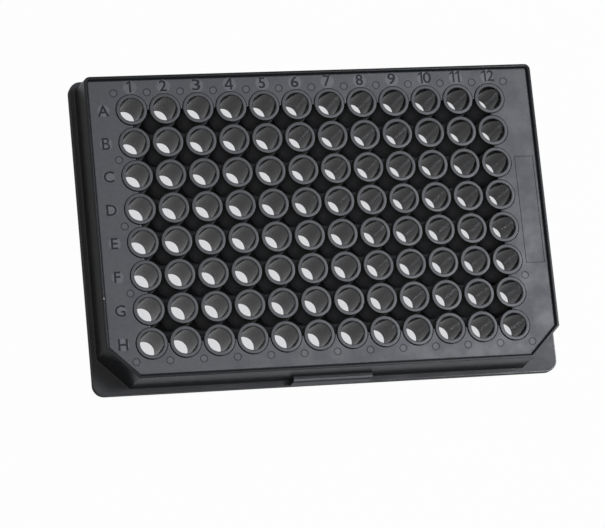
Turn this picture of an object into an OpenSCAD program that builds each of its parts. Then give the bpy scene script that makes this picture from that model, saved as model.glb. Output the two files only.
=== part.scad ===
// 96-well plate with a clear bottom.
// The opaque body is one moulding: a flanged foot, drafted side walls with two cut corners, a
// recessed deck inside a raised lip, and 96 ring-topped wells that stand up from a common web.
// A clear sheet is bonded under the web and closes every well.
// Lies flat on its foot. +X runs along the rows towards column 12, +Y towards row A, +Z up
// out of the wells. The origin is the middle of the footprint, on the surface it lies on.

/* [Footprint] */
// Length of the foot, along the rows
plate_l = 127.76; // [125:0.01:131]
// Width of the foot, along the columns
plate_w = 85.48; // [84:0.01:88]
// Overall height, to the top of the lip
plate_h = 14.35; // [13.8:0.05:16]
// Corner radius of the foot
foot_r = 3.18; // [1.5:0.01:5]
// Height of the foot's outer flange
flange_h = 2.41; // [1.8:0.01:3]

/* [Side walls] */
// Ledge on the flange along the short sides, outside the wall
ledge_end = 1.5; // [1:0.05:1.6]
// Ledge on the flange along the long sides, outside the wall
ledge_side = 1.5; // [1:0.05:1.6]
// Inward draft of the end walls, from the ledge to the lip
draft_end = 0.63; // [0:0.01:0.8]
// Inward draft of the side walls, from the ledge to the lip
draft_side = 0.57; // [0:0.01:0.8]
// Leg of the 45 degree cut at corners H1 and H12
cut_leg = 8.2; // [5:0.1:9]
// Corner radius of the wall at A1 and A12
wall_r = 1.6; // [1:0.1:3]
// Thickness of the skirt wall
wall_t = 1.2; // [0.9:0.05:1.3]
// Width of the taller tab in the middle of each long side
tab_w = 21.6; // [12:0.1:30]
// Height of that tab
tab_h = 6.4; // [4:0.1:8]
// Inward draft of the tab's face, from the top of the flange to the top of the tab
draft_tab = 0.4; // [0:0.01:0.6]

/* [Deck and lip] */
// Depth of the deck below the lip
deck_drop = 0.9; // [0.6:0.05:1.4]
// Thickness of the deck
deck_t = 1.3; // [1:0.05:1.8]
// Width of the lip's flat top
lip_w = 0.65; // [0.5:0.05:0.9]
// Slope of the lip's inner face, measured across
lip_slope = 0.42; // [0:0.02:0.5]
// Depth of the nesting recess that takes the lip of a plate below
nest_h = 1.2; // [0.8:0.05:1.4]
// Gap between that recess and the lip it takes
nest_gap = 0.2; // [0.1:0.05:0.25]
// Corner radius of that recess
nest_r = 1; // [0.5:0.1:2]

/* [Wells] */
// Number of columns
cols = 12; // [4:1:12]
// Number of rows
rows = 8; // [3:1:8]
// Distance from well to well
pitch = 9; // [8.8:0.05:9.1]
// Diameter of a well's straight mouth
mouth_d = 6.3; // [6:0.05:7]
// Depth of the straight mouth, below its chamfer
mouth_h = 2; // [1:0.1:4]
// Diameter of the clear window at the bottom of a well
window_d = 5.7; // [5:0.05:6]
// Outside diameter of a well's ring
ring_d = 8.2; // [7.6:0.05:8.3]
// Height that the rings stand above the deck
ring_rise = 0.4; // [0.1:0.05:0.5]
// Outside diameter of a well at its foot
tube_foot_d = 8.5; // [8.3:0.05:8.8]
// Chamfer round the inside of a ring
ring_chamfer = 0.2; // [0.05:0.05:0.25]
// Width of the moat between an outer ring and the deck
moat_w = 0.2; // [0.1:0.05:0.25]
// Depth of that moat
moat_depth = 0.5; // [0.2:0.1:0.8]

/* [Web and clear bottom] */
// Height of the wells' floor above the surface
floor_z = 1.2; // [1.1:0.05:2.4]
// Thickness of the web that ties the wells together
web_t = 1.4; // [1:0.1:2]
// Margin of the web outside the outermost well centres
web_margin = 4.9; // [4.4:0.1:5.2]
// Thickness of the clear bottom sheet
sheet_t = 0.2; // [0.15:0.05:0.4]
// Corner radius of the web and the sheet
web_r = 2; // [0.5:0.5:4]
// Thickness of the ribs between the skirt and the outer wells
rib_t = 1; // [0.9:0.1:1.4]

/* [Hidden] */
// Driving sizes, worked out
$fn = 48;
eps = 0.01;
half_l = plate_l / 2;
half_w = plate_w / 2;
wall_l = half_l - ledge_end;          // half length over the walls, at the ledge
wall_w = half_w - ledge_side;         // half width over the walls, at the ledge
lip_l = wall_l - draft_end;           // half length over the lip
lip_wd = wall_w - draft_side;         // half width over the lip
deck_z = plate_h - deck_drop;
deck_under = deck_z - deck_t;
ring_z = deck_z + ring_rise;
field_l = (cols - 1) * pitch / 2;     // half distance between the outermost columns
field_w = (rows - 1) * pitch / 2;     // half distance between the outermost rows
web_top = floor_z + web_t;
draft_run = plate_h - flange_h;
least_r = 0.4;                        // smallest corner radius inside the skirt
rib_root = 0.2;                       // how far the ribs run up into the deck

// Share of the walls' draft that is used up at height z
function drafted(z) = max(0, z - flange_h) / draft_run;

// Centre of the well in column i and row j, both counted from 0 at A1
function well_x(i) = -field_l + i * pitch;
function well_y(j) = field_w - j * pitch;

// Rectangle with round corners, centred, from its half sizes
module round_rect(hx, hy, r) {
    square([2 * hx - 2 * r, 2 * hy], center = true);
    square([2 * hx, 2 * hy - 2 * r], center = true);
    for (x = [-1, 1], y = [-1, 1])
        translate([x * (hx - r), y * (hy - r)]) circle(r = r);
}

// What spans the outline of the walls: round corners towards row A, 45 degree cuts towards row H
module wall_corners(hx, hy, leg, r) {
    for (x = [-1, 1]) translate([x * (hx - r), hy - r]) circle(r = r, $fn = 32);
    polygon([[-hx, 0], [-hx, leg - hy], [leg - hx, -hy], [hx - leg, -hy], [hx, leg - hy], [hx, 0]]);
}

// Frustum between two outlines of the walls, set in by inset from the outer face, from height z0 to z1
module drafted_block(inset, z0, z1) {
    leg = cut_leg - inset * (2 - sqrt(2));
    r = max(wall_r - inset, least_r);
    hull() {
        for (z = [z0, z1])
            translate([0, 0, z == z0 ? z0 : z1 - eps])
                linear_extrude(height = eps)
                    wall_corners(wall_l - inset - draft_end * drafted(z),
                                 wall_w - inset - draft_side * drafted(z), leg, r);
    }
}

// Block across the plate as wide as both tabs, set in by inset from their faces, from height z0 to z1.
// The faces stand upright to the top of the flange and lean in above it
module tab_block(inset, z0, z1) {
    hx = tab_w / 2 - inset;
    foot_y = half_w - inset;
    top_y = foot_y - draft_tab * (z1 - flange_h) / (tab_h - flange_h);
    rotate([90, 0, 90])
        translate([0, 0, -hx])
            linear_extrude(height = 2 * hx)
                polygon([[-foot_y, z0], [foot_y, z0], [foot_y, flange_h],
                         [top_y, z1], [-top_y, z1], [-foot_y, flange_h]]);
}

// Foot flange with its flat ledge, and the taller tab in the middle of each long side
module foot() {
    linear_extrude(height = flange_h) round_rect(half_l, half_w, foot_r);
    tab_block(0, 0, tab_h);
}

// Hollow under the deck, with the wider nesting recess round the bottom edge and a pocket up
// behind each tab
module cavity() {
    drafted_block(wall_t, nest_h - eps, deck_under);
    translate([0, 0, -1])
        linear_extrude(height = nest_h + 1)
            round_rect(lip_l + nest_gap, lip_wd + nest_gap, nest_r);
    tab_block(wall_t, -1, tab_h - wall_t);
}

// Recess of the deck inside the lip, wider at the top
module deck_recess() {
    hull() {
        for (k = [0, 1])
            translate([0, 0, k == 0 ? deck_z : plate_h])
                linear_extrude(height = eps)
                    wall_corners(lip_l - lip_w - lip_slope * (1 - k), lip_wd - lip_w - lip_slope * (1 - k),
                                 cut_leg - (lip_w + lip_slope * (1 - k)) * (2 - sqrt(2)), wall_r - lip_w);
    }
}

// Narrow moat round every ring that the deck runs up to
module moats() {
    each_well()
        translate([0, 0, deck_z - moat_depth])
            cylinder(h = moat_depth + 1, d = ring_d + 2 * moat_w);
}

// Open field between the wells, bounded by the outermost well centres
module field_opening() {
    translate([-field_l, -field_w, web_top])
        cube([2 * field_l, 2 * field_w, plate_h]);
}

// Web that the wells stand on
module web() {
    translate([0, 0, floor_z])
        linear_extrude(height = web_t)
            round_rect(field_l + web_margin, field_w + web_margin, web_r);
}

// Ribs under the deck, between the skirt and the outer wells, at every second gap
module ribs() {
    z0 = web_top - eps;
    h = deck_under + rib_root - z0;
    end_x = wall_l - (wall_t + draft_end * drafted(deck_under)) / 2;
    end_y = wall_w - (wall_t + draft_side * drafted(deck_under)) / 2;
    for (i = [1 : 2 : cols - 3], s = [-1, 1])
        translate([well_x(i) + pitch / 2 - rib_t / 2, s > 0 ? field_w : -end_y, z0])
            cube([rib_t, end_y - field_w, h]);
    for (j = [1 : 2 : rows - 3], s = [-1, 1])
        translate([s > 0 ? field_l : -end_x, well_y(j) - pitch / 2 - rib_t / 2, z0])
            cube([end_x - field_l, rib_t, h]);
}

// Outside of one well: a tapered tube with a straight ring round its mouth
module well_tube() {
    translate([0, 0, floor_z])
        cylinder(h = ring_z - mouth_h - floor_z, d1 = tube_foot_d, d2 = ring_d);
    translate([0, 0, ring_z - mouth_h]) cylinder(h = mouth_h, d = ring_d);
}

// Inside of one well: chamfered straight mouth, then a taper down to the window
module well_bore() {
    neck_z = ring_z - ring_chamfer - mouth_h;
    translate([0, 0, floor_z - 1]) cylinder(h = 1 + eps, d = window_d);
    translate([0, 0, floor_z]) cylinder(h = neck_z - floor_z, d1 = window_d, d2 = mouth_d);
    translate([0, 0, neck_z]) cylinder(h = mouth_h + 1, d = mouth_d);
    translate([0, 0, ring_z - ring_chamfer])
        cylinder(h = 2 * ring_chamfer, d1 = mouth_d, d2 = mouth_d + 4 * ring_chamfer);
}

// Places its children at every well
module each_well() {
    for (i = [0 : cols - 1], j = [0 : rows - 1])
        translate([well_x(i), well_y(j), 0]) children();
}

// Opaque moulded body
module plate_body() {
    color([0.16, 0.17, 0.18])
        difference() {
            union() {
                difference() {
                    union() {
                        foot();
                        drafted_block(0, flange_h - eps, plate_h);
                    }
                    cavity();
                    deck_recess();
                    moats();
                    field_opening();
                }
                web();
                ribs();
                each_well() well_tube();
            }
            each_well() well_bore();
        }
}

// Clear sheet bonded under the web
module clear_bottom() {
    color([0.86, 0.9, 0.92, 0.35])
        translate([0, 0, floor_z - sheet_t])
            linear_extrude(height = sheet_t)
                round_rect(field_l + web_margin, field_w + web_margin, web_r);
}

plate_body();
clear_bottom();
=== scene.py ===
"""Looks of a black 96-well plate with a clear bottom, lying on a pale bench.

Sizes are in millimetres until a mesh is made. +X runs along the rows towards column 12,
+Y towards row A and +Z up out of the wells; the origin is under the middle of the plate.
"""

import math

import bmesh
import bpy
import numpy as np
from mathutils import Matrix, Vector


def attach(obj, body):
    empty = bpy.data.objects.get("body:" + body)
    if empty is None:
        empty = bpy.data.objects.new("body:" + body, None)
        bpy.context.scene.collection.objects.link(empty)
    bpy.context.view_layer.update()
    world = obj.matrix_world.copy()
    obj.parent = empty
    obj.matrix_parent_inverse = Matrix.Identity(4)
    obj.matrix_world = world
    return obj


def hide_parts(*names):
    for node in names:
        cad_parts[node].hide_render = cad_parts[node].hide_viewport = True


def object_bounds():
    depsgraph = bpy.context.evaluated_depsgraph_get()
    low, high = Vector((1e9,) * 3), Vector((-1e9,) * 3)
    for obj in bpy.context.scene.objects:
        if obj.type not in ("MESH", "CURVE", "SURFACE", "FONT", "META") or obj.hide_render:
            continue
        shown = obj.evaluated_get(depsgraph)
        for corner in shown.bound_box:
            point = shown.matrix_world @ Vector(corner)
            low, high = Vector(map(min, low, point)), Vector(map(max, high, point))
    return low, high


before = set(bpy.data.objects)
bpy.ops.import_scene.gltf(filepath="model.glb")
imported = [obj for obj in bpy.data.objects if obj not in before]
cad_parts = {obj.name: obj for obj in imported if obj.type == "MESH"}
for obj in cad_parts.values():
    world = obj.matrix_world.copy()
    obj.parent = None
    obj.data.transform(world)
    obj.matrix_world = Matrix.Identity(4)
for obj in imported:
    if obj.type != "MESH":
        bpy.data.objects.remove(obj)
cad_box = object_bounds()

# ---------------------------------------------------------------- sizes

MM = 0.001
HALF_L, HALF_W, HEIGHT = (float(v) / MM for v in cad_box[1])

# foot and walls
FOOT_R = 3.18          # corner radius of the foot
FLANGE_H = 2.41        # height of the flange
TAB_W, TAB_H, TAB_DRAFT = 21.6, 6.4, 0.4         # tab, and how far its face leans in above the flange
WALL_L, WALL_W = HALF_L - 1.5, HALF_W - 1.5      # walls where they meet the flange
DRAFT_L, DRAFT_W = 0.63, 0.57                    # how far they lean in up to the lip
LIP_L, LIP_W = WALL_L - DRAFT_L, WALL_W - DRAFT_W
WALL_T = 1.2           # thickness of the skirt
CUT_LEG = 8.2          # 45 degree cuts at H1 and H12
WALL_R = 1.6           # round corners at A1 and A12
CUT_R = 0.6            # rounding where a cut meets a side
LEAST_R, LEAST_CUT_R = 0.3, 0.15                 # smallest radii of those corners inside the walls
NEST_H, NEST_GAP, NEST_R = 1.2, 0.2, 1.0         # recess under the foot for the lip of a plate below

# deck, lip and web
DECK_Z = HEIGHT - 0.9            # top of the deck, below the lip
DECK_UNDER = DECK_Z - 1.3        # and its underside
LIP_T, LIP_SLOPE = 0.65, 0.42    # width of the lip's flat top, and of its sloping inner face
FLOOR_Z, WEB_TOP = 1.2, 2.6      # underside and top of the web
WEB_MARGIN, WEB_R = 4.9, 2.0     # web outside the outermost well centres, and its corners
WEB_HOLE_R = 3.6                 # holes in the web, whose edges lie inside the tubes' walls
MOAT_R, MOAT_DEPTH = 4.3, 0.5    # narrow moat between a ring and the deck
MOAT_STEP = 0.3                  # how far the deck reaches in under the moat, into the tubes' walls
POCKET_TOP = TAB_H - WALL_T      # pocket behind a tab
APART = 0.01                     # keeps new pieces this far above the clear sheet

# wells
PITCH = 9.0
COLUMN_X = (np.arange(12) - 5.5) * PITCH
ROW_Y = (3.5 - np.arange(8)) * PITCH
FIELD_L, FIELD_W = COLUMN_X[-1], ROW_Y[0]
RING_Z = DECK_Z + 0.4                # top of the rings, above the deck
RING_R, MOUTH_R, WINDOW_R, TUBE_FOOT_R = 4.1, 3.15, 2.85, 4.25
RING_IN, RING_SLOPE = 3.38, 0.2      # inner edge of a ring's top, and depth of the slope inside it
RING_FALL = 0.07                     # how far a ring's top falls towards its outer edge
RING_H = 2.0                         # height of the ring's straight outside
RIB_T = 1.0                          # thickness of the ribs under the deck

# marks
NUMBER_Y, LETTER_X = 37.88, -57.1        # lines on which the numbers and the letters are centred
MARK_HEIGHT = 3.25
CAP_HEIGHT, BOLDER = 0.729, 0.016        # a capital's height in type of size 1, and what each edge gains
WIDER = {"3": 1.3, "9": 1.15, "0": 1.12, "6": 1.1}       # figures set wider than the type's own
PAD_SHIFT, PAD_Y = 0.12, 37.7            # pads stand a little towards column 12
NUMBER_PAD_R, LETTER_PAD_R = 1.88, 1.65
PIN_Y, PIN_R, PIN_GROOVE = FIELD_W + PITCH / 2 + 0.2, 0.8, 0.28
PIN_EDGE = 0.05                          # how far a pin mark's sunk end reaches into its groove
PIN_STEPS = 24                           # corners of a pin mark's round line
END_PIN_Y = 18                           # the outer pin marks on the short sides
LABEL = (54.7, 60.0, -14.7, 15.0)        # frame of the label field: low x, high x, low y, high y
LABEL_LINE = 0.16                        # width of that frame
PAD_DEPTH, PIN_DEPTH, GROOVE_DEPTH, FRAME_DEPTH, STROKE_DEPTH = 0.04, 0.03, 0.1, 0.12, 0.15
CUTTER_TOP = 0.3                         # how far every cutter stands above the deck

# which of the shell's finishes a face takes
ON_WALL, ON_DECK, ON_PAINTED_SHADE, ON_TAB_PAINTED_LIGHT, ON_LIP, ON_TAB_HIGHLIGHT = range(6)

# light
BENCH_GLOW = 0.978                       # bench as the eye sees it
SHEET_GLOW = 0.77                        # bench through the clear sheet, at most
FIRST_BOUNCE, BOUNCE_KEEP = 1.2, 0.3     # how that falls with each mirroring, see bench()
BENCH_COLOUR = (0.47, 0.47, 0.47)
BENCH_HALF, BENCH_DROP = 3, 0.02         # half its side in metres, and how far it lies below the foot
ROOM_LIGHT = 0.28                        # strength of the room's light on the plate
CEILING, CEILING_FROM, CEILING_TO = 0.35, 0.1, 0.45      # mirrored room high up, and where it fades
OVERHEAD, OVERHEAD_FROM, OVERHEAD_TO = 0.85, 0.9, 0.955  # patch straight above, and where it sets in

# a round corner of radius r is a 45 degree cut of leg ROUND_CUT * r, rounded by r
ROUND_CUT = 2 - math.sqrt(2)


# ---------------------------------------------------------------- mesh helpers

MERGE = 1e-7          # points closer than this, in metres, are one
SHARP = 35.0          # edges turning by more than this many degrees stay crisp


def grid_faces(rows, columns, close_rows=False, close_columns=False):
    """Four-sided faces of a rows x columns grid of vertices numbered row by row from 0.
    Face (i, j) joins vertices (i, j), (i, j + 1), (i + 1, j + 1) and (i + 1, j), and a closed
    direction wraps its last line of vertices round to its first."""
    i, j = np.meshgrid(np.arange(rows if close_rows else rows - 1),
                       np.arange(columns if close_columns else columns - 1), indexing="ij")
    i2, j2 = (i + 1) % rows, (j + 1) % columns
    faces = np.stack([i * columns + j, i * columns + j2, i2 * columns + j2, i2 * columns + j], axis=-1)
    return faces.reshape(-1, 4)


def make_piece(name, points, faces, finishes, face_finish=None, sharp=SHARP):
    """One mesh from points in millimetres and four-sided faces. Doubles are merged, normals
    turned outwards, and edges sharper than the given angle stay crisp."""
    mesh = bpy.data.meshes.new(name)
    mesh.from_pydata((points * MM).tolist(), [], faces.tolist())
    for finish in finishes:
        mesh.materials.append(finish)
    if face_finish is not None:
        mesh.polygons.foreach_set("material_index", face_finish.astype(np.int32))
    shape = bmesh.new()
    shape.from_mesh(mesh)
    bmesh.ops.remove_doubles(shape, verts=shape.verts, dist=MERGE)
    bmesh.ops.dissolve_degenerate(shape, edges=shape.edges, dist=MERGE)
    bmesh.ops.recalc_face_normals(shape, faces=shape.faces)
    shape.to_mesh(mesh)
    shape.free()
    mesh.shade_smooth()
    mesh.set_sharp_from_angle(angle=math.radians(sharp))
    piece = bpy.data.objects.new(name, mesh)
    bpy.context.collection.objects.link(piece)
    return piece


def arc(centre, radius, start, end, steps):
    """Points (across, up) on a circular arc: centre + radius * (cos, sin) of an angle that goes
    from start to end, in degrees, in equal steps."""
    angle = np.radians(np.linspace(start, end, steps + 1))
    return np.stack([centre[0] + radius * np.cos(angle), centre[1] + radius * np.sin(angle)], axis=1)


# ---------------------------------------------------------------- outlines of the plate

ARC_STEPS = 16        # stations on a half turn round a ring
CORNER_STEPS = 7      # stations on each half of a corner


def side_stations(centres, extra=()):
    """Places along one side, from the first well centre to the last: the sine of equal angles
    across each well, so that they gather where the ring's edge turns away, and any extra ones."""
    across = MOAT_R * np.sin(np.radians(np.linspace(-90, 90, ARC_STEPS + 1)))
    places = np.concatenate([(centres[:, None] + across[None, :]).ravel(), np.asarray(extra, float)])
    places = places[(places >= centres.min() - 1e-6) & (places <= centres.max() + 1e-6)]
    return np.unique(np.round(places, 5))


STEP = 0.12           # length over which a tab or its pocket ends
TAB_ENDS = [s * (TAB_W / 2 + d) for s in (-1, 1) for d in (0, STEP, -WALL_T, -WALL_T - STEP)]
ALONG_X = side_stations(COLUMN_X, TAB_ENDS)
ALONG_Y = side_stations(ROW_Y)


def around(right, top, left, bottom, corners):
    """One closed line round the plate, anticlockwise from above: the right side, corner A12, row A,
    corner A1, the left side, corner H1, row H and corner H12."""
    return np.concatenate([right, corners[0], top, corners[1], left, corners[2], bottom, corners[3]])


def corner(hx, hy, leg, radius, quarter):
    """A corner cut at 45 degrees with the given leg and rounded by radius: two eighths of a circle
    whose centres lie (leg, r tan 22.5) in from the corner of the hx by hy rectangle, turned to
    its quarter, 0 at +X +Y and counting anticlockwise."""
    sx, sy = ((1, 1), (-1, 1), (-1, -1), (1, -1))[quarter]
    near = radius * math.tan(math.pi / 8) + leg
    ends = [(sx * (hx - radius), sy * (hy - near)), (sx * (hx - near), sy * (hy - radius))]
    if quarter % 2:
        ends.reverse()
    start = 90 * quarter
    return np.concatenate([arc(ends[0], radius, start, start + 45, CORNER_STEPS - 1),
                           arc(ends[1], radius, start + 45, start + 90, CORNER_STEPS - 1)])


def outline(hx, hy, legs, radii):
    """Rectangle of half sizes hx, hy with a cut and rounded corner in each quarter."""
    return around(np.stack([np.full_like(ALONG_Y, hx), ALONG_Y], axis=1),
                  np.stack([ALONG_X[::-1], np.full_like(ALONG_X, hy)], axis=1),
                  np.stack([np.full_like(ALONG_Y, -hx), ALONG_Y[::-1]], axis=1),
                  np.stack([ALONG_X, np.full_like(ALONG_X, -hy)], axis=1),
                  [corner(hx, hy, legs[q], radii[q], q) for q in range(4)])


def field_outline(radius):
    """Edge of the open field: the rectangle through the outermost well centres, pushed out to the
    circle of the given radius round each of them. Along a side that is the square root of
    radius squared less the distance from the nearest centre squared, and zero between circles."""
    def bulge(places, centres):
        """How far the circles reach out past the side at each place."""
        near = np.abs(places[:, None] - centres[None, :]).min(axis=1)
        return np.sqrt(np.clip(radius ** 2 - near ** 2, 0, None))
    out_x, out_y = bulge(ALONG_Y, ROW_Y), bulge(ALONG_X, COLUMN_X)
    turns = np.linspace(0, 90, 2 * CORNER_STEPS + 2)[1:-1]
    corners = []
    for quarter, (sx, sy) in enumerate(((1, 1), (-1, 1), (-1, -1), (1, -1))):
        angle = np.radians(turns + 90 * quarter)
        corners.append(np.stack([sx * FIELD_L + radius * np.cos(angle),
                                 sy * FIELD_W + radius * np.sin(angle)], axis=1))
    return around(np.stack([FIELD_L + out_x, ALONG_Y], axis=1),
                  np.stack([ALONG_X[::-1], FIELD_W + out_y[::-1]], axis=1),
                  np.stack([-FIELD_L - out_x[::-1], ALONG_Y[::-1]], axis=1),
                  np.stack([ALONG_X, -FIELD_W - out_y], axis=1), corners)


def level(line, z):
    """A closed line lifted to height z, which is one number or one for each station."""
    heights = np.broadcast_to(np.asarray(z, float).reshape(-1, 1), (len(line), 1))
    return np.concatenate([line, heights], axis=1)


def foot_line(inset, z):
    """Line round the foot, set in from its outer face."""
    radius = FOOT_R - inset
    return level(outline(HALF_L - inset, HALF_W - inset, [ROUND_CUT * radius] * 4, [radius] * 4), z)


def wall_line(inset, z):
    """Line round the walls at height z, set in from their outer face, which leans in by the draft
    in proportion to the height above the flange."""
    lean = np.clip((np.asarray(z, float) - FLANGE_H) / (HEIGHT - FLANGE_H), 0, None)
    round_r, cut_r = max(WALL_R - inset, LEAST_R), max(CUT_R - inset, LEAST_CUT_R)
    radii = [round_r] * 2 + [cut_r] * 2
    legs = [ROUND_CUT * round_r] * 2 + [CUT_LEG - ROUND_CUT * inset] * 2
    at_foot = outline(WALL_L - inset, WALL_W - inset, legs, radii)
    at_lip = outline(WALL_L - inset - DRAFT_L, WALL_W - inset - DRAFT_W, legs, radii)
    share = lean.reshape(-1, 1) if lean.ndim else lean
    return level(at_foot + (at_lip - at_foot) * share, z)


def nest_line(z):
    """Line round the recess under the foot that takes the lip of a plate below, and round the
    open ends of the pockets behind the tabs."""
    recess = outline(LIP_L + NEST_GAP, LIP_W + NEST_GAP, [ROUND_CUT * NEST_R] * 4, [NEST_R] * 4)
    return pocketed(level(recess, z))


def field_line(radius, z):
    """Line round the open field at height z, at the given radius round the outermost wells."""
    return level(field_outline(radius), z)


# ---------------------------------------------------------------- pieces

def on_side(half_span):
    """1 at the stations within half_span of the middle of a long side, 0 elsewhere."""
    line = foot_line(0, 0.0)
    return ((np.abs(line[:, 1]) > HALF_W - 0.01) & (np.abs(line[:, 0]) <= half_span + 1e-4)).astype(float)


def tab_lean(z):
    """How far a tab's face has leaned in at height z, in proportion to the height above the flange."""
    return TAB_DRAFT * np.clip((z - FLANGE_H) / (TAB_H - FLANGE_H), 0, None)


def edge_line(inset, z, more=0.0):
    """Outer edge of the flange, or of a tab where there is one, set in from its face, and on a tab
    by so much more."""
    line = foot_line(inset, z)
    line[:, 1] -= np.sign(line[:, 1]) * (tab_lean(line[:, 2]) + more) * on_side(TAB_W / 2)
    return line


def pocketed(line):
    """A line inside the skirt, set back behind each tab to leave the tab one wall thick."""
    back = np.sign(line[:, 1]) * (HALF_W - WALL_T - tab_lean(line[:, 2]))
    line[:, 1] += on_side(TAB_W / 2 - WALL_T - STEP) * (back - line[:, 1])
    return line


def build_shell(finishes):
    """Foot, walls, lip and deck as one closed skin: a profile carried round the plate. Each line of
    the profile is an outline at a height, and the skin joins line k to line k + 1 station by
    station. It starts at the deck's edge round the open field, goes out over the deck, up and
    over the lip, down the wall, over the flange, under the foot and back up inside the skirt.
    A rounding of radius r passes r (1 - cos a) and r (1 - sin a) from the two faces it joins,
    for a from 0 to 90 degrees. Each face takes the finish of the line that it starts from."""
    top = FLANGE_H + (TAB_H - FLANGE_H) * on_side(TAB_W / 2)
    # radii of the outer edge, of the fillet on the ledge, of the lip and of the deck at the moat, the
    # last of which is also how far beyond a rounding the next line holds the flat
    edge, fillet, lip_r, hold = 0.15, 0.12, 0.06, 0.06
    # by how much more the top edge of a tab is broken
    more = 0.3
    turn = np.radians([0, 30, 60, 90])
    slope = LIP_SLOPE / (HEIGHT - DECK_Z)
    lip_foot = LIP_T + LIP_SLOPE
    lines = [field_line(MOAT_R - MOAT_STEP, DECK_UNDER),
             field_line(MOAT_R - MOAT_STEP, DECK_Z - MOAT_DEPTH),
             field_line(MOAT_R, DECK_Z - MOAT_DEPTH)]
    lines += [field_line(MOAT_R + hold * (1 - math.cos(a)), DECK_Z - hold * (1 - math.sin(a)))
              for a in turn]
    # the deck, with holding lines along both its edges, and the lip's sloping inner face
    deck_from = len(lines) - len(turn)
    lines += [field_line(MOAT_R + 2 * hold, DECK_Z), wall_line(lip_foot + 0.4, DECK_Z),
              wall_line(lip_foot + 0.2, DECK_Z)]
    deck_to = len(lines) - 1
    lines += [wall_line(lip_foot - up * slope, DECK_Z + up) for up in (0.01, 0.2)]
    lines += [wall_line(LIP_T + slope * lip_r, HEIGHT - lip_r)]
    # over the lip
    lines += [wall_line(LIP_T - lip_r * (1 - math.cos(a)), HEIGHT - lip_r * (1 - math.sin(a)))
              for a in turn[1:]]
    lines += [wall_line(lip_r * (1 - math.sin(a)), HEIGHT - lip_r * (1 - math.cos(a))) for a in turn]
    lip_to = len(lines) - 1
    # down the wall, by lines that keep it flat, to a fillet on the flange or on a tab
    lines += [wall_line(0, HEIGHT - 0.4), wall_line(0, np.maximum(8.0, top + 1.0)),
              wall_line(0, top + fillet + 0.2)]
    lines += [wall_line(-fillet * (1 - math.cos(a)), top + fillet * (1 - math.sin(a))) for a in turn]
    ledge_from = len(lines) - 1
    # over its rounded edge, down the face of a tab and of the flange, and on to the bench
    lines += [edge_line(edge + hold, top, more)]
    ledge_to = len(lines) - 1
    broken = edge + more * on_side(TAB_W / 2)
    lines += [edge_line(edge * (1 - math.sin(a)), top - broken * (1 - math.cos(a)),
                        more * (1 - math.sin(a))) for a in turn]
    below = FLANGE_H - edge - 0.1
    lines += [edge_line(0, np.maximum(below, top - 1.5)), edge_line(0, below - 0.1)]
    # the foot's lower edge, broken by 0.15
    lines += [foot_line(0, 0.15), foot_line(0.05, 0.05), foot_line(0.15, 0)]
    # under the foot and up inside the skirt
    lines += [nest_line(0), nest_line(NEST_H)]
    lines += [pocketed(wall_line(WALL_T, NEST_H)), pocketed(wall_line(WALL_T, POCKET_TOP))]
    lines += [wall_line(WALL_T, POCKET_TOP), wall_line(WALL_T, DECK_UNDER)]
    points = np.stack(lines)
    rows, columns = points.shape[:2]
    faces = grid_faces(rows, columns, close_rows=True, close_columns=True)
    finish = np.full((rows, columns), ON_WALL)
    # painted shade: the moat round each ring takes the darker ledge finish
    finish[:deck_from] = ON_PAINTED_SHADE
    finish[deck_from:deck_to] = ON_DECK
    finish[deck_to:lip_to] = ON_LIP
    # painted shade: so does the ledge at the foot of the walls
    finish[ledge_from:ledge_to] = ON_PAINTED_SHADE
    # on a tab: three strips of its broken edge with a painted highlight, two darker ones of painted shade
    # below them, then its face with painted light
    tabbed = on_side(TAB_W / 2) * np.roll(on_side(TAB_W / 2), -1) > 0
    finish[ledge_to:ledge_to + 3, tabbed] = ON_TAB_HIGHLIGHT
    finish[ledge_to + 3:ledge_to + 5, tabbed] = ON_PAINTED_SHADE
    finish[ledge_to + 5:ledge_to + 7, tabbed] = ON_TAB_PAINTED_LIGHT
    return make_piece("moulded_shell", points.reshape(-1, 3), faces, finishes, finish.ravel())


def well_profile():
    """Cross-section of one well's wall as (distance from its axis, height), round and back: up
    the tapered inside and the slope at its mouth, over the ring's top, which falls a little
    outwards, down the outside and in under its foot. With it, which finish each stretch takes:
    0 inside, 1 on the ring, 2 outside."""
    # soft rounds the ring's outer edge, hold keeps its top flat, and blunt blunts the ends of the slope
    soft, hold, blunt = 0.06, 0.04, 0.03
    slope_z = RING_Z - RING_SLOPE
    inside = [[WINDOW_R, FLOOR_Z + APART],
              [MOUTH_R - 0.005, slope_z - 0.2],
              [MOUTH_R, slope_z - blunt]]
    slope = [[MOUTH_R + blunt, slope_z + blunt],
             [RING_IN - soft, RING_Z - blunt],
             [RING_IN, RING_Z - 0.005]]
    top = [[RING_IN + hold, RING_Z], [RING_R - soft - hold, RING_Z - RING_FALL]]
    top += arc((RING_R - soft, RING_Z - RING_FALL - soft), soft, 83, 0, 3).tolist()
    outside = [[RING_R, RING_Z - RING_H], [TUBE_FOOT_R, FLOOR_Z + APART]]
    finish = [0] * len(inside) + [1] * (len(slope) + len(top) - 1) + [2] * (len(outside) + 1)
    return np.array(inside + slope + top + outside), np.array(finish)


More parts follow.
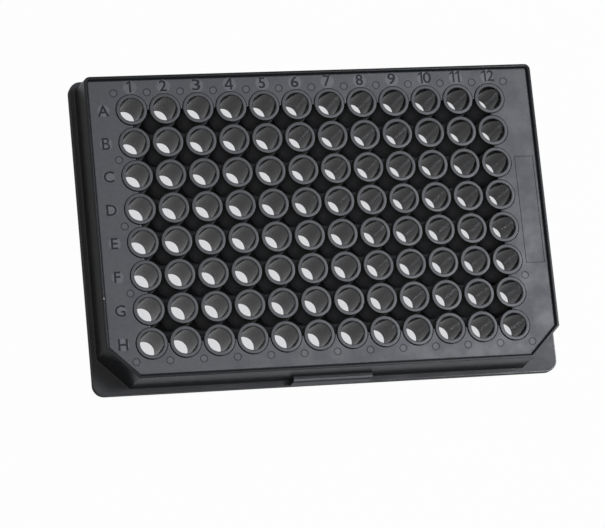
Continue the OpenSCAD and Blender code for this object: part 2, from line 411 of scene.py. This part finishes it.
def build_wells(finishes, segments=52):
    """All the well tubes: the profile turned about each well's own axis, so that a point is
    (x + r cos a, y + r sin a, z) for every well centre, angle and profile point at once."""
    profile, finish = well_profile()
    angle = np.linspace(0, 2 * math.pi, segments, endpoint=False)
    x, y = (c.ravel() for c in np.meshgrid(COLUMN_X, ROW_Y))
    r, z = profile[:, 0], profile[:, 1]
    points = np.stack(np.broadcast_arrays(x[:, None, None] + r[:, None] * np.cos(angle),
                                          y[:, None, None] + r[:, None] * np.sin(angle),
                                          z[:, None]), axis=-1)
    per_well = len(profile) * segments
    one = grid_faces(len(profile), segments, close_rows=True, close_columns=True)
    faces = (one[None] + per_well * np.arange(len(x))[:, None, None]).reshape(-1, 4)
    return make_piece("well_tubes", points.reshape(-1, 3), faces, finishes,
                      np.tile(np.repeat(finish, segments), len(x)), sharp=40)


def build_web(finishes, segments=48):
    """Perforated web under the wells. In each 9 mm cell a ring of points runs round the hole and
    another round the cell's square edge, at the top and at the underside. The outer edges of
    the outer cells are pushed out to the web's own edge, round at its corners, and closed."""
    edge_x, edge_y = FIELD_L + WEB_MARGIN, FIELD_W + WEB_MARGIN
    angle = np.radians(np.arange(segments) * 360 / segments)
    ray = np.stack([np.cos(angle), np.sin(angle)], axis=1)
    square = ray * (PITCH / 2 / np.abs(ray).max(axis=1))[:, None]
    rings = np.stack([WEB_HOLE_R * ray, square, square, WEB_HOLE_R * ray])
    heights = np.array([WEB_TOP, WEB_TOP, FLOOR_Z + APART, FLOOR_Z + APART])
    x, y = (c.ravel() for c in np.meshgrid(COLUMN_X, ROW_Y))
    points = np.zeros((len(x), 4, segments, 3))
    points[..., 0] = x[:, None, None] + rings[None, ..., 0]
    points[..., 1] = y[:, None, None] + rings[None, ..., 1]
    points[..., 2] = heights[None, :, None]
    # outer edges
    half = np.array([FIELD_L, FIELD_W]) + PITCH / 2
    flat = points[..., :2]
    outer = np.abs(flat) > half - 1e-4
    flat = np.where(outer, np.sign(flat) * [edge_x, edge_y], flat)
    past = np.abs(flat) - [edge_x - WEB_R, edge_y - WEB_R]
    reach = np.linalg.norm(past, axis=-1, keepdims=True)
    turned = np.sign(flat) * ([edge_x - WEB_R, edge_y - WEB_R] + past * WEB_R / np.maximum(reach, WEB_R))
    points[..., :2] = np.where((past > 0).all(axis=-1, keepdims=True), turned, flat)
    one = grid_faces(4, segments, close_rows=True, close_columns=True)
    faces = (one[None] + 4 * segments * np.arange(len(x))[:, None, None]).reshape(-1, 4)
    # between two cells there is no wall: of the faces joining the two square rings, the outer ones stay
    joins = np.tile(np.repeat(np.arange(4) == 1, segments), len(x))
    on_edge = outer.any(axis=-1).reshape(-1)[faces].all(axis=1)
    faces = faces[~joins | on_edge]
    return make_piece("well_web", points.reshape(-1, 3), faces, finishes)


def build_bars(name, spans, finishes):
    """Straight ribs as boxes: each span is (low x, low y, low z, high x, high y, high z). A box has
    eight corners, each picked from its span, the four below first, and six sides between them."""
    spans = np.asarray(spans, float)
    pick = np.array([[0, 1, 2], [3, 1, 2], [3, 4, 2], [0, 4, 2],
                     [0, 1, 5], [3, 1, 5], [3, 4, 5], [0, 4, 5]])
    sides = np.array([[0, 3, 2, 1], [4, 5, 6, 7], [0, 1, 5, 4],
                      [1, 2, 6, 5], [2, 3, 7, 6], [3, 0, 4, 7]])
    points = spans[:, pick].reshape(-1, 3)
    faces = (sides[None] + len(pick) * np.arange(len(spans))[:, None, None]).reshape(-1, 4)
    return make_piece(name, points, faces, finishes)


def rib_spans():
    """Ribs under the deck from the outer wells' centre lines to the middle of the skirt, at every
    second gap between wells, each worked out from its gap and its side."""
    share = (DECK_UNDER - FLANGE_H) / (HEIGHT - FLANGE_H)
    end_x = WALL_L - (WALL_T + DRAFT_L * share) / 2
    end_y = WALL_W - (WALL_T + DRAFT_W * share) / 2
    # they end inside the web below and the deck above
    half, low, high = RIB_T / 2, WEB_TOP - 0.1, DECK_UNDER + 0.2
    spans = []
    for x in COLUMN_X[1:-2:2] + PITCH / 2:
        spans += [(x - half, FIELD_W, low, x + half, end_y, high),
                  (x - half, -end_y, low, x + half, -FIELD_W, high)]
    for y in ROW_Y[1:-2:2] - PITCH / 2:
        spans += [(FIELD_L, y - half, low, end_x, y + half, high),
                  (-end_x, y - half, low, -FIELD_L, y + half, high)]
    return spans


# ---------------------------------------------------------------- marks in the deck

def circle(x, y, radius, steps=32):
    """Closed round line in plan."""
    angle = np.linspace(0, 2 * math.pi, steps, endpoint=False)
    return np.stack([x + radius * np.cos(angle), y + radius * np.sin(angle)], axis=1)


def cutter_of(points, faces, finish):
    """Closed cutter from points in millimetres."""
    mesh = bpy.data.meshes.new("cutter")
    mesh.from_pydata((points * MM).tolist(), [], faces)
    mesh.materials.append(finish)
    cutter = bpy.data.objects.new("cutter", mesh)
    bpy.context.collection.objects.link(cutter)
    return cutter


def prism(ring, depth, finish):
    """Cutter from one closed line in plan, standing from depth below the deck to CUTTER_TOP above."""
    count = len(ring)
    points = np.concatenate([level(ring, DECK_Z - depth), level(ring, DECK_Z + CUTTER_TOP)])
    sides = grid_faces(2, count, close_columns=True).tolist()
    return cutter_of(points, sides + [list(range(count))[::-1], list(range(count, 2 * count))], finish)


def groove(inner, outer, depth, finish):
    """Cutter for a groove between two closed lines in plan, joined point to point: its section runs
    from the inner line at the bottom to the outer one, up, back to the inner one and down."""
    section = [(inner, -depth), (outer, -depth), (outer, CUTTER_TOP), (inner, CUTTER_TOP)]
    points = np.concatenate([level(line, DECK_Z + z) for line, z in section])
    sides = grid_faces(len(section), len(inner), close_rows=True, close_columns=True).tolist()
    return cutter_of(points, sides, finish)


def frame_line(low_x, high_x, low_y, high_y):
    """Closed rectangle in plan."""
    return np.array([(low_x, low_y), (high_x, low_y), (high_x, high_y), (low_x, high_y)], float)


# outlines of marks drawn one by one, in millimetres from a mark's middle, anticlockwise: a 1, an upright
# with a flag; a 4 and a B, whose open middles are joined to the outside by slits 0.01 wide
DRAWN = {
    "1": [(0.25, -1.62), (0.25, 1.62), (-0.15, 1.62), (-1.0, 1.05), (-1.0, 0.6), (-0.25, 1.0),
          (-0.25, -1.62)],
    "4": [(0.72, -1.62), (0.72, -0.92), (1.1, -0.92), (1.1, -0.42), (0.72, -0.42), (0.72, 1.62),
          (0.15, 1.62), (-1.25, -0.42), (-1.25, -0.92), (0.2, -0.92), (0.2, -0.42), (-0.65, -0.42),
          (0.21, 0.75), (0.21, -1.62)],
    "B": np.concatenate([
        [(-1.05, -1.62)],
        arc((0.22, -0.78), 0.84, -90, 75, 7),
        arc((0.12, 0.84), 0.78, -65, 90, 7),
        [(-1.05, 1.62), (-1.05, 0.715), (-0.52, 0.715), (-0.52, 1.14)],
        arc((0.0, 0.71), 0.43, 90, -90, 7),
        [(-0.52, 0.28), (-0.52, 0.705), (-1.05, 0.705), (-1.05, -0.655), (-0.52, -0.655), (-0.52, -0.16)],
        arc((0.06, -0.66), 0.5, 90, -90, 7),
        [(-0.52, -1.16), (-0.52, -0.665), (-1.05, -0.665)]])}


def character(mark, x, y, depth, finish):
    """Cutter in the shape of one character, centred on (x, y): drawn by its corners, or else set in
    type and scaled to the height of the marks."""
    if mark in DRAWN:
        return prism(np.array(DRAWN[mark]) + [x, y], depth, finish)
    text = bpy.data.curves.new("mark", "FONT")
    text.body = mark
    text.size = 1.0
    text.offset = BOLDER
    text.resolution_u = 4
    # any thickness will do: what is above 0 becomes the cutter's top, and the rest its floor
    text.extrude = 0.5
    holder = bpy.data.objects.new("mark", text)
    bpy.context.collection.objects.link(holder)
    bpy.context.view_layer.update()
    mesh = bpy.data.meshes.new_from_object(holder.evaluated_get(bpy.context.evaluated_depsgraph_get()))
    bpy.data.objects.remove(holder)
    spots = np.empty(3 * len(mesh.vertices))
    mesh.vertices.foreach_get("co", spots)
    spots = spots.reshape(-1, 3)
    low, high = spots.min(axis=0), spots.max(axis=0)
    plan = (spots[:, :2] - (low + high)[:2] / 2) * MARK_HEIGHT / (CAP_HEIGHT + 2 * BOLDER)
    plan = plan * [WIDER.get(mark, 1.0), 1.0] + [x, y]
    tall = np.where(spots[:, 2] > 0, DECK_Z + CUTTER_TOP, DECK_Z - depth)
    mesh.vertices.foreach_set("co", (np.column_stack([plan, tall]) * MM).ravel())
    mesh.materials.clear()
    mesh.materials.append(finish)
    weld = bmesh.new()
    weld.from_mesh(mesh)
    bmesh.ops.remove_doubles(weld, verts=weld.verts, dist=MERGE)
    bmesh.ops.recalc_face_normals(weld, faces=weld.faces)
    weld.to_mesh(mesh)
    weld.free()
    cutter = bpy.data.objects.new("cutter", mesh)
    bpy.context.collection.objects.link(cutter)
    return cutter


def carve(piece, cutters, sharp=SHARP):
    """Takes all the cutters away from a piece, and leaves their finishes on the cut faces."""
    finishes = list(dict.fromkeys(cutter.data.materials[0] for cutter in cutters))
    together = bmesh.new()
    for cutter in cutters:
        which = finishes.index(cutter.data.materials[0])
        sides = cutter.data.polygons
        sides.foreach_set("material_index", np.full(len(sides), which, np.int32))
        together.from_mesh(cutter.data)
    mesh = bpy.data.meshes.new("cutters")
    together.to_mesh(mesh)
    together.free()
    for finish in finishes:
        mesh.materials.append(finish)
    tool = bpy.data.objects.new("cutters", mesh)
    bpy.context.collection.objects.link(tool)
    cut = piece.modifiers.new("cut", "BOOLEAN")
    cut.operation, cut.solver, cut.object, cut.material_mode = "DIFFERENCE", "EXACT", tool, "TRANSFER"
    bpy.context.view_layer.update()
    carved = bpy.data.meshes.new_from_object(piece.evaluated_get(bpy.context.evaluated_depsgraph_get()))
    piece.modifiers.clear()
    piece.data = carved
    for gone in cutters + [tool]:
        bpy.data.objects.remove(gone)
    carved.shade_smooth()
    carved.set_sharp_from_angle(angle=math.radians(sharp))


def mark_deck(shell, pad, pin, ring, stroke_shade):
    """Sinks the deck's marks in two cuts: first the round pads under the letters and numbers and the
    round pin marks, then a groove about each pin mark, the column numbers, the row letters and
    the frame of the label field."""
    edge_x = np.concatenate([[COLUMN_X[0] - PITCH / 2], COLUMN_X + PITCH / 2])
    spots = [(x, s * PIN_Y) for x in edge_x for s in (1, -1)]
    spots += [(-FIELD_L - PITCH / 2, y) for y in (END_PIN_Y, 0, -END_PIN_Y)]
    spots += [(FIELD_L + PITCH / 2, -END_PIN_Y)]
    shallow = [prism(circle(x + PAD_SHIFT, PAD_Y, NUMBER_PAD_R), PAD_DEPTH, pad) for x in COLUMN_X]
    shallow += [prism(circle(LETTER_X + PAD_SHIFT, y, LETTER_PAD_R), PAD_DEPTH, pad) for y in ROW_Y]
    shallow += [prism(circle(x, y, PIN_R + PIN_EDGE, PIN_STEPS), PIN_DEPTH, pin) for x, y in spots]
    carve(shell, shallow)
    # painted shade: each pin mark's groove takes a darker finish than the deck
    deep = [groove(circle(x, y, PIN_R, PIN_STEPS), circle(x, y, PIN_R + PIN_GROOVE, PIN_STEPS),
                   GROOVE_DEPTH, ring) for x, y in spots]
    # painted shade: the figures and letters, and the label frame below, take a near black finish on their
    # sunk faces
    for number, x in enumerate(COLUMN_X, start=1):
        # the 1 stands a little aside, and two figures stand apart
        asides = [0.1] if number == 1 else [0.0] if number < 10 else [-0.5, 1.0]
        deep += [character(figure, x + aside, NUMBER_Y, STROKE_DEPTH, stroke_shade)
                 for figure, aside in zip(str(number), asides)]
    deep += [character(letter, LETTER_X, y, STROKE_DEPTH, stroke_shade) for letter, y in zip("ABCDEFGH", ROW_Y)]
    x0, x1, y0, y1 = LABEL
    within = frame_line(x0 + LABEL_LINE, x1 - LABEL_LINE, y0 + LABEL_LINE, y1 - LABEL_LINE)
    deep += [groove(within, frame_line(x0, x1, y0, y1), FRAME_DEPTH, stroke_shade)]
    carve(shell, deep)


# ---------------------------------------------------------------- finishes

def finish_of(name, colour, roughness, ior=1.59, specular=0.5):
    """Material with a Principled shader, and its nodes, links and shader for what is added."""
    material = bpy.data.materials.new(name)
    material.use_nodes = True
    nodes, links = material.node_tree.nodes, material.node_tree.links
    shader = nodes["Principled BSDF"]
    shader.inputs["Base Color"].default_value = (*colour, 1)
    shader.inputs["Roughness"].default_value = roughness
    shader.inputs["IOR"].default_value = ior
    shader.inputs["Specular IOR Level"].default_value = specular
    return material, nodes, links, shader


def noise(nodes, links, scale, detail=3.0, stretch=(1, 1, 1)):
    """Noise in the piece's own coordinates, scale in lumps per metre, stretched along an axis."""
    place = nodes.new("ShaderNodeTexCoord")
    turn = nodes.new("ShaderNodeMapping")
    turn.inputs["Scale"].default_value = stretch
    lumps = nodes.new("ShaderNodeTexNoise")
    lumps.inputs["Scale"].default_value = scale
    lumps.inputs["Detail"].default_value = detail
    links.new(place.outputs["Object"], turn.inputs["Vector"])
    links.new(turn.outputs["Vector"], lumps.inputs["Vector"])
    return lumps.outputs["Fac"]


def calculate(nodes, links, operation, first, second):
    """One step of arithmetic between two values, each a number or another node's output."""
    step = nodes.new("ShaderNodeMath")
    step.operation = operation
    for socket, value in zip(step.inputs, (first, second)):
        if isinstance(value, (int, float)):
            socket.default_value = value
        else:
            links.new(value, socket)
    return step.outputs["Value"]


def spread(nodes, links, source, low, high, out_low, out_high):
    """Straight map of a value from low..high to out_low..out_high, held at the ends."""
    ramp = nodes.new("ShaderNodeMapRange")
    for key, value in zip(("From Min", "From Max", "To Min", "To Max"), (low, high, out_low, out_high)):
        ramp.inputs[key].default_value = value
    links.new(source, ramp.inputs["Value"])
    return ramp.outputs["Result"]


def tint(nodes, links, source, dark, light, shader):
    """Base colour blended from dark to light by a value between 0 and 1."""
    blend = nodes.new("ShaderNodeMix")
    blend.data_type = "RGBA"
    blend.inputs["A"].default_value = (*dark, 1)
    blend.inputs["B"].default_value = (*light, 1)
    links.new(source, blend.inputs["Factor"])
    links.new(blend.outputs["Result"], shader.inputs["Base Color"])


def relief(nodes, links, source, depth, strength, shader):
    """Bump: the surface is shaded as if it rose by the source's value times the depth, which is in
    millimetres."""
    bump = nodes.new("ShaderNodeBump")
    bump.inputs["Distance"].default_value = depth * MM
    bump.inputs["Strength"].default_value = strength
    links.new(source, bump.inputs["Height"])
    links.new(bump.outputs["Normal"], shader.inputs["Normal"])


def polished_black(name="polished_black", colour=(0.0105, 0.0110, 0.0118), roughness=(0.16, 0.24),
                   specular=0.5, ior=1.59, ripple=0.25):
    """Bare moulded polystyrene: near black, with faint flow ripples up the wall. Slow patches of
    noise carry the roughness from its low to its high end, and the colour from its own value to
    1.35 times that. The ripples are noise drawn out four times upwards."""
    material, nodes, links, shader = finish_of(name, colour, roughness[0], ior, specular)
    patches = noise(nodes, links, scale=260, detail=4)
    links.new(spread(nodes, links, patches, 0.3, 0.7, *roughness), shader.inputs["Roughness"])
    tint(nodes, links, patches, colour, tuple(1.35 * c for c in colour), shader)
    flow = noise(nodes, links, scale=420, detail=2, stretch=(1, 1, 0.25))
    relief(nodes, links, flow, depth=0.02, strength=ripple, shader=shader)
    return material


def grained_black(name="grained_black", colour=(0.040, 0.042, 0.0465), roughness=(0.42, 0.54),
                  specular=0.5):
    """Spark-eroded deck: fine even grain over slow blotches that run slightly blue. The blotches
    carry the roughness from its low to its high end, and half the sum of them and of a smaller
    noise carries the colour from 0.8 to 1.2 times its own value, and its blue to 1.3 times."""
    material, nodes, links, shader = finish_of(name, colour, roughness[0], specular=specular)
    blotches = noise(nodes, links, scale=190, detail=5)
    links.new(spread(nodes, links, blotches, 0.35, 0.65, *roughness), shader.inputs["Roughness"])
    both = calculate(nodes, links, "ADD", blotches, noise(nodes, links, scale=900, detail=2))
    mottle = calculate(nodes, links, "MULTIPLY", both, 0.5)
    tint(nodes, links, spread(nodes, links, mottle, 0.38, 0.62, 0, 1),
         tuple(0.8 * c for c in colour), (1.2 * colour[0], 1.2 * colour[1], 1.3 * colour[2]), shader)
    grain = noise(nodes, links, scale=2600, detail=2)
    relief(nodes, links, grain, depth=0.03, strength=0.35, shader=shader)
    return material


def tube_black():
    """Matt black of the tubes' outsides, painted paler the deeper it lies, from 13 to 7 mm up: painted
    light that lifts the shade in the narrow gaps between the tubes.
    """
    material, nodes, links, shader = finish_of("tube_outside_painted_light", (0.04, 0.04, 0.04), 0.6, specular=0.15)
    place = nodes.new("ShaderNodeTexCoord")
    axes = nodes.new("ShaderNodeSeparateXYZ")
    links.new(place.outputs["Object"], axes.inputs["Vector"])
    deep = spread(nodes, links, axes.outputs["Z"], 7 * MM, 13 * MM, 1, 0)
    # painted light: the paler colour deep down stands in for light in the shaded gaps between the tubes
    tint(nodes, links, deep, (0.035, 0.0355, 0.036), (0.39, 0.39, 0.4), shader)
    return material


def fleck(material, place, radius, colour):
    """Adds a light fleck to a finish: the base colour becomes the fleck's own wherever the distance
    from a place is below the radius, both in millimetres."""
    nodes, links = material.node_tree.nodes, material.node_tree.links
    shader = nodes["Principled BSDF"]
    away = nodes.new("ShaderNodeVectorMath")
    away.operation = "DISTANCE"
    away.inputs[1].default_value = [c * MM for c in place]
    links.new(nodes.new("ShaderNodeTexCoord").outputs["Object"], away.inputs[0])
    blend = nodes.new("ShaderNodeMix")
    blend.data_type = "RGBA"
    blend.inputs["B"].default_value = (*colour, 1)
    within = calculate(nodes, links, "LESS_THAN", away.outputs["Value"], radius * MM)
    links.new(within, blend.inputs["Factor"])
    links.new(shader.inputs["Base Color"].links[0].from_socket, blend.inputs["A"])
    links.new(blend.outputs["Result"], shader.inputs["Base Color"])


def clear_sheet():
    """Clear polystyrene sheet, with the faintest waves."""
    material, nodes, links, shader = finish_of("clear_sheet", (0.94, 0.943, 0.968), 0.02)
    shader.inputs["Transmission Weight"].default_value = 1.0
    waves = noise(nodes, links, scale=90, detail=1)
    relief(nodes, links, waves, depth=0.02, strength=0.1, shader=shader)
    return material


def bench():
    """Pale bench. To the eye, straight or through the clear sheet, it is nearly white with a trace of
    the plate's shadow; the plate's polished walls mirror its true lit shade. Seen from below it
    is not there, nor for the light on what is seen past it. Its glow has the greater of two
    shares: BENCH_GLOW to the eye, and through the clear sheet FIRST_BOUNCE times BOUNCE_KEEP to
    the power of the mirrorings behind it, but no more than SHEET_GLOW."""
    material = bpy.data.materials.new("bench")
    material.use_nodes = True
    nodes, links = material.node_tree.nodes, material.node_tree.links
    shader = nodes["Principled BSDF"]
    shader.inputs["Base Color"].default_value = (*BENCH_COLOUR, 1)
    shader.inputs["Roughness"].default_value = 0.9
    glow = nodes.new("ShaderNodeEmission")
    glow.inputs["Color"].default_value = (1, 1, 1, 1)
    rays = nodes.new("ShaderNodeLightPath").outputs
    bounced = calculate(nodes, links, "POWER", BOUNCE_KEEP, rays["Glossy Depth"])
    bounced = calculate(nodes, links, "MULTIPLY", bounced, FIRST_BOUNCE)
    through = calculate(nodes, links, "MINIMUM", SHEET_GLOW, bounced)
    share = calculate(nodes, links, "MAXIMUM",
                      calculate(nodes, links, "MULTIPLY", rays["Is Camera Ray"], BENCH_GLOW),
                      calculate(nodes, links, "MULTIPLY", rays["Is Transmission Ray"], through))
    blend = nodes.new("ShaderNodeMixShader")
    links.new(share, blend.inputs["Fac"])
    links.new(shader.outputs["BSDF"], blend.inputs[1])
    links.new(glow.outputs["Emission"], blend.inputs[2])
    gone = nodes.new("ShaderNodeBsdfTransparent")
    side = nodes.new("ShaderNodeNewGeometry")
    under = nodes.new("ShaderNodeMixShader")
    links.new(calculate(nodes, links, "MAXIMUM", side.outputs["Backfacing"], rays["Transparent Depth"]),
              under.inputs["Fac"])
    links.new(blend.outputs["Shader"], under.inputs[1])
    links.new(gone.outputs["BSDF"], under.inputs[2])
    links.new(under.outputs["Shader"], nodes["Material Output"].inputs["Surface"])
    return material


# ---------------------------------------------------------------- build

walls_finish = polished_black()
deck_finish = grained_black()
pad_finish = grained_black("mark_pad", (0.090, 0.094, 0.101), (0.42, 0.52))
pin_finish = grained_black("pin_end", (0.057, 0.060, 0.066), (0.42, 0.52))
# painted shade: a darker grained black for the groove round each pin mark
pin_groove_shade = grained_black("pin_ring_painted_shade", (0.020, 0.021, 0.023), (0.42, 0.52), 0.25)
# painted shade: a near black, low-sheen finish for the sunk faces of the figures, letters and label frame
stroke_painted_shade = polished_black("mark_floor_painted_shade", (0.014, 0.015, 0.017), (0.4, 0.5), 0.15)
# painted shade: a darker grained black than the deck, for the ledge under the walls, the moat round each
# ring and the strips under a tab's edge
ledge_painted_shade = grained_black("ledge", (0.016, 0.0168, 0.018), (0.46, 0.54), 0.4)
web_finish = polished_black("web", (0.045, 0.046, 0.047), (0.5, 0.6), 0.15)
ring_finish = grained_black("ring_top", (0.040, 0.042, 0.045), (0.42, 0.52))
# painted light: a lighter grained black on a tab's face, standing for the lit bench that the face mirrors
tab_face_painted_light = grained_black("tab_face_with_painted_light", (0.115, 0.118, 0.125), (0.3, 0.4))
lip_finish = polished_black("lip", (0.012, 0.013, 0.0145), (0.26, 0.32), 0.14)
# painted highlight: a much lighter grained black along a tab's broken top edge
tab_edge_highlight = grained_black("tab_edge_painted_highlight", (0.17, 0.174, 0.18), (0.42, 0.5))
fleck(lip_finish, place=(-61.24, -19.2, HEIGHT), radius=0.24, colour=(0.34, 0.35, 0.37))
# in the order of ON_WALL, ON_DECK, the ledge with its painted shade, the tab face with its painted light,
# ON_LIP and the tab edge with its painted highlight
shell = build_shell([walls_finish, deck_finish, ledge_painted_shade, tab_face_painted_light, lip_finish, tab_edge_highlight])
mark_deck(shell, pad_finish, pin_finish, pin_groove_shade, stroke_painted_shade)
well_finish = polished_black("well_wall", roughness=(0.03, 0.05), ior=1.45, ripple=0.05)
wells = build_wells([well_finish, ring_finish, tube_black()])
web = build_web([web_finish])
ribs = build_bars("deck_ribs", rib_spans(), [walls_finish])
for piece in (shell, wells, web, ribs):
    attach(piece, "root")
    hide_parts("plate_body")

# the clear sheet is the frame's own solid, and takes its finish
clear = clear_sheet()
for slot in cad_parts["clear_bottom"].material_slots:
    slot.material = clear

# ---------------------------------------------------------------- bench, lights and camera

def room():
    """White room, whose strength is the greatest of three: ROOM_LIGHT for what it lights, 1 for the
    eye, and a level by the upward part of a ray's heading for what mirrors it or lets it through.
    That level is the greater of two: one that fades from 1 to CEILING, and one that rises from 0
    to OVERHEAD, each between its two headings."""
    world = bpy.data.worlds.new("room")
    world.use_nodes = True
    nodes, links = world.node_tree.nodes, world.node_tree.links
    sky = nodes["Background"]
    sky.inputs["Color"].default_value = (1, 1, 1, 1)
    rays = nodes.new("ShaderNodeLightPath").outputs
    heading = nodes.new("ShaderNodeSeparateXYZ")
    links.new(nodes.new("ShaderNodeTexCoord").outputs["Generated"], heading.inputs["Vector"])
    upwards = heading.outputs["Z"]
    ceiling = spread(nodes, links, upwards, CEILING_FROM, CEILING_TO, 1, CEILING)
    overhead = spread(nodes, links, upwards, OVERHEAD_FROM, OVERHEAD_TO, 0, OVERHEAD)
    ceiling = calculate(nodes, links, "MAXIMUM", ceiling, overhead)
    mirrored = calculate(nodes, links, "MAXIMUM", rays["Is Glossy Ray"], rays["Is Transmission Ray"])
    mirrored = calculate(nodes, links, "MULTIPLY", mirrored, ceiling)
    shown = calculate(nodes, links, "MAXIMUM", mirrored, rays["Is Camera Ray"])
    links.new(calculate(nodes, links, "MAXIMUM", shown, ROOM_LIGHT), sky.inputs["Strength"])
    return world


def soft_box(name, place, aim, width, height, radiance, colour):
    """Rectangular lamp at a place, turned towards an aim. Its energy is pi times its area times the
    even radiance of its face."""
    lamp = bpy.data.lights.new(name, "AREA")
    lamp.shape = "RECTANGLE"
    lamp.size, lamp.size_y = width, height
    lamp.energy, lamp.color = radiance * math.pi * width * height, colour
    holder = bpy.data.objects.new(name, lamp)
    holder.matrix_world = (Matrix.Translation(place)
                           @ (Vector(aim) - Vector(place)).to_track_quat("-Z", "Y").to_matrix().to_4x4())
    bpy.context.collection.objects.link(holder)


bench_mesh = bpy.data.meshes.new("bench_top")
bench_corners = [(x * BENCH_HALF, y * BENCH_HALF, -BENCH_DROP * MM)
                 for x, y in ((-1, -1), (1, -1), (1, 1), (-1, 1))]
bench_mesh.from_pydata(bench_corners, [], [(0, 1, 2, 3)])
bench_mesh.materials.append(bench())
bench_top = bpy.data.objects.new("bench_top", bench_mesh)
bpy.context.collection.objects.link(bench_top)

bpy.context.scene.world = room()
soft_box("key_box", place=(0.45, 0.05, 0.85), aim=(0.0, 0.0, 0.0), width=0.3, height=0.3,
         radiance=18.0, colour=(0.95, 0.98, 1.05))

# the eye's place in metres, its level and upright directions, and its lens in millimetres
EYE = (-0.20173, -0.17811, 0.77963)
RIGHT = (0.969556, -0.095389, 0.225528)
UP = (0.044161, 0.974019, 0.222119)
SENSOR_WIDTH, FOCAL_LENGTH = 36.0, 181.59
lens = bpy.data.cameras.new("eye")
lens.sensor_width = SENSOR_WIDTH
lens.lens = FOCAL_LENGTH
eye = bpy.data.objects.new("eye", lens)
back = Vector(RIGHT).cross(Vector(UP))
eye.matrix_world = Matrix((RIGHT, UP, back)).transposed().to_4x4()
eye.matrix_world.translation = EYE
bpy.context.collection.objects.link(eye)
bpy.context.scene.camera = eye
bpy.context.scene.view_settings.view_transform = "Standard"

bpy.context.view_layer.update()
